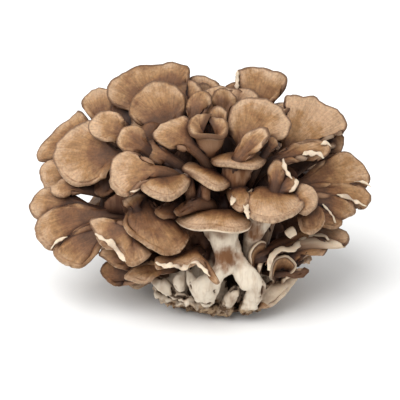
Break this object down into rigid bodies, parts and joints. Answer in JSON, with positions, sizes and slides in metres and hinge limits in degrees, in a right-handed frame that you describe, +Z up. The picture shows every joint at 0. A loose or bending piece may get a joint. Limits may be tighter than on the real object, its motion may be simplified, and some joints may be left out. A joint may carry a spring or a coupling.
{
  "type": "maitake mushroom head",
  "caption": "Whole maitake mushroom: a rosette of thin wavy brown caps on flattened pale stems from one crumbly cut base.",
  "frame": {"origin": "middle of the flat cut at the bottom of the pale butt", "axes": "+Z up, away from the cut; +X to the right and -Y towards the viewer of the picture"},
  "size_m": [0.1687, 0.1216, 0.1098],
  "materials": {
    "mushroom_flesh": "matt, velvety brown cap skin over cream flesh"
  },
  "bodies": {
    "root": {"maitake_head": "mushroom_flesh"}
  },
  "joints": []
}
